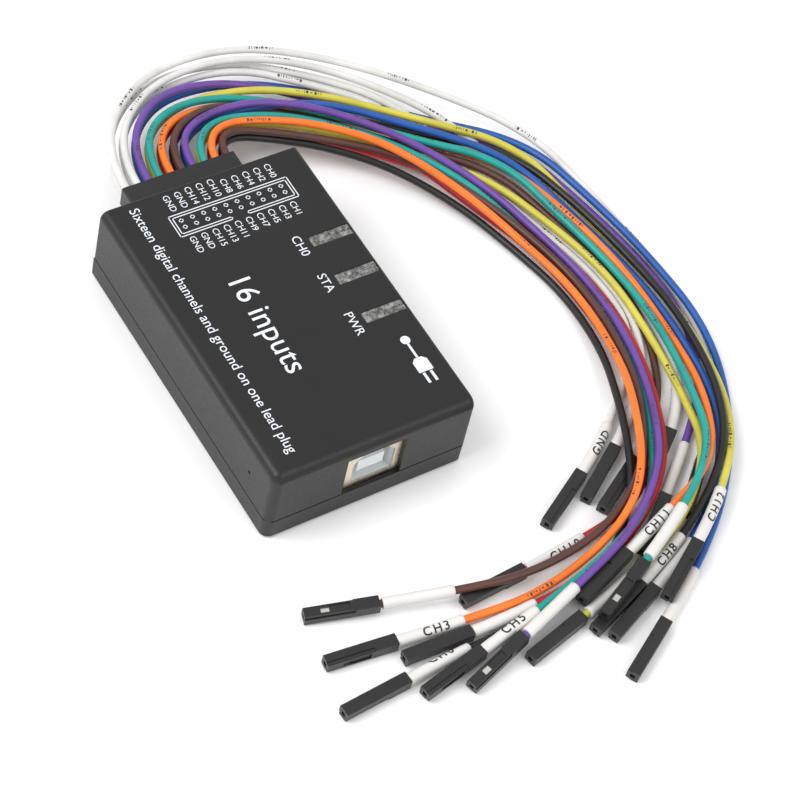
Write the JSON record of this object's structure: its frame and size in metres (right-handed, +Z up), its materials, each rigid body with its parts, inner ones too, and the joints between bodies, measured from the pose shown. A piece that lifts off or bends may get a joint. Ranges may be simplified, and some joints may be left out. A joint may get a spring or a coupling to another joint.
{
  "type": "logic analyzer",
  "caption": "Small black USB logic analyzer with light pipes, a USB-B socket in front and a header plug behind, whose labelled coloured test leads curl round to a fan of probe sockets",
  "frame": {"origin": "on the bench, under the middle of the case's underside", "axes": "+X across the case to the side with the light pipes, +Y along the case from the USB-B socket to the lead plug, +Z up"},
  "size_m": [0.115, 0.1647, 0.0194],
  "materials": {
    "case_plastic": "fine-textured satin black moulding",
    "board_green": "solder-masked glass-fibre board",
    "screw_steel": "blackened cross-head screws",
    "usb_metal": "warm tin-plated sheet steel",
    "usb_plastic": "white socket moulding",
    "contact_gold": "gold-plated contacts",
    "header_plastic": "black header block",
    "clear_plastic": "clear moulded light pipes",
    "led_body": "chip LEDs",
    "chip_plastic": "black chip packages",
    "can_metal": "metal crystal can",
    "capacitor_ceramic": "ceramic capacitors",
    "resistor_body": "chip resistors",
    "housing_plastic": "satin black connector plastic",
    "terminal_metal": "tin-plated crimp terminals",
    "sleeve_plastic": "white printed heat-shrink sleeve",
    "wire_black": "black PVC or silicone wire insulation, satin",
    "wire_brown": "brown PVC or silicone wire insulation, satin",
    "wire_red": "red PVC or silicone wire insulation, satin",
    "wire_orange": "orange PVC or silicone wire insulation, satin",
    "wire_yellow": "yellow PVC or silicone wire insulation, satin",
    "wire_green": "green PVC or silicone wire insulation, satin",
    "wire_blue": "blue PVC or silicone wire insulation, satin",
    "wire_purple": "purple PVC or silicone wire insulation, satin",
    "wire_white": "white PVC or silicone wire insulation, satin"
  },
  "bodies": {
    "case": {"case_top": "case_plastic", "case_bottom": "case_plastic", "circuit_board": "board_green", "case_screws": "screw_steel", "usb_shell": "usb_metal", "usb_insulator": "usb_plastic", "usb_contacts": "contact_gold", "header_body": "header_plastic", "header_pins": "contact_gold", "light_pipes": "clear_plastic", "status_leds": "led_body", "controller_chip": "chip_plastic", "buffer_chips": "chip_plastic", "crystal": "can_metal", "capacitors": "capacitor_ceramic", "input_resistors": "resistor_body"},
    "lead_set": {"plug_housing": "housing_plastic", "plug_terminals": "terminal_metal", "label_sleeves": "sleeve_plastic", "probe_terminals": "terminal_metal", "lead_ch0": "wire_black", "lead_ch1": "wire_brown", "lead_ch2": "wire_red", "lead_ch3": "wire_orange", "lead_ch4": "wire_yellow", "lead_ch5": "wire_green", "lead_ch6": "wire_blue", "lead_ch7": "wire_purple", "lead_ch8": "wire_black", "lead_ch9": "wire_brown", "lead_ch10": "wire_red", "lead_ch11": "wire_orange", "lead_ch12": "wire_yellow", "lead_ch13": "wire_green", "lead_ch14": "wire_blue", "lead_ch15": "wire_purple", "lead_gnd1": "wire_white", "lead_gnd2": "wire_white", "lead_gnd3": "wire_white", "lead_gnd4": "wire_white", "probe_housing_ch0": "housing_plastic", "probe_housing_ch1": "housing_plastic", "probe_housing_ch2": "housing_plastic", "probe_housing_ch3": "housing_plastic", "probe_housing_ch4": "housing_plastic", "probe_housing_ch5": "housing_plastic", "probe_housing_ch6": "housing_plastic", "probe_housing_ch7": "housing_plastic", "probe_housing_ch8": "housing_plastic", "probe_housing_ch9": "housing_plastic", "probe_housing_ch10": "housing_plastic", "probe_housing_ch11": "housing_plastic", "probe_housing_ch12": "housing_plastic", "probe_housing_ch13": "housing_plastic", "probe_housing_ch14": "housing_plastic", "probe_housing_ch15": "housing_plastic", "probe_housing_gnd1": "housing_plastic", "probe_housing_gnd2": "housing_plastic", "probe_housing_gnd3": "housing_plastic", "probe_housing_gnd4": "housing_plastic"}
  },
  "joints": [
    {"name": "lead_set_unplug", "type": "slide", "parent": "case", "child": "lead_set", "axis": [0, 1, 0], "range_m": [0, 0.01]}
  ]
}
